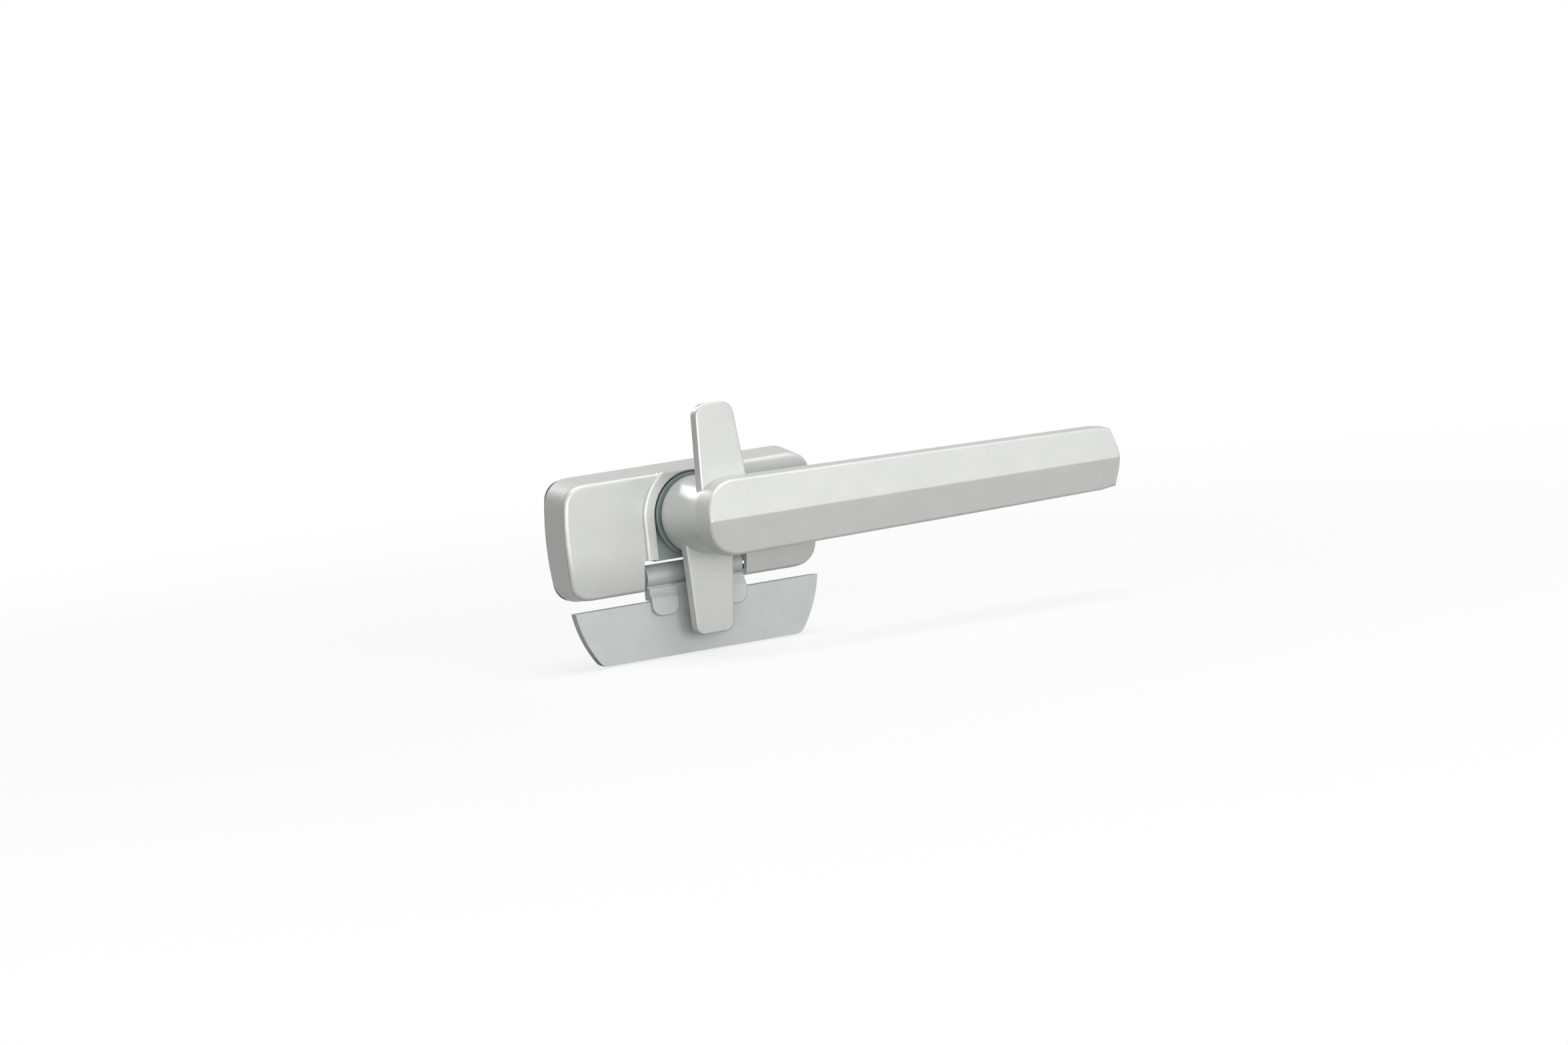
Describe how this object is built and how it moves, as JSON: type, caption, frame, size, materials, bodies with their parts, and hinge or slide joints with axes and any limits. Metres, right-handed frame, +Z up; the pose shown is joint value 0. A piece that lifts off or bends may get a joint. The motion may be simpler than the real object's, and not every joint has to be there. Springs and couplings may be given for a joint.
{
  "type": "window fastener",
  "caption": "Window fastener: a lever handle on a covered base, with a closing tongue, a raised tongue that holds the window ajar, and a keeper plate.",
  "frame": {"origin": "hub axis where it meets the plane that the base is screwed to", "axes": "+X along the lever when closed, +Y into the window along the hub axis, +Z up"},
  "size_m": [0.1475, 0.0525, 0.063],
  "materials": {
    "satin_paint": "satin silver powder coat",
    "raw_zinc": "bare cast zinc, dull grey",
    "zinc_plate": "zinc plated, dull",
    "bright_steel": "bright zinc plated steel",
    "dark_steel": "oiled black steel",
    "spring_steel": "plain spring steel",
    "white_acetal": "natural acetal",
    "dark_acetal": "dark grey acetal",
    "seal_rubber": "matte black rubber"
  },
  "bodies": {
    "base": {"cover": "satin_paint", "cover_clips": "spring_steel", "base_body": "raw_zinc", "rim_seal": "seal_rubber", "base_screws": "bright_steel", "pivot_bush": "white_acetal", "thrust_ring": "zinc_plate", "glide_washer": "dark_acetal", "stop_pin": "bright_steel", "pressure_washer": "white_acetal", "keeper_plate": "raw_zinc", "guide_block": "raw_zinc", "block_rivets": "bright_steel", "keeper_studs": "bright_steel", "keeper_packer": "seal_rubber"},
    "handle": {"lever_handle": "satin_paint", "spindle": "bright_steel", "cross_pin": "dark_steel", "tongue_pads": "dark_acetal", "stop_disc": "bright_steel", "wave_spring": "spring_steel", "circlip": "dark_steel"}
  },
  "joints": [
    {"name": "lever_turn", "type": "hinge", "parent": "base", "child": "handle", "pos_m": [0, 0, 0], "axis": [0, -1, 0], "range_deg": [0, 180]}
  ]
}
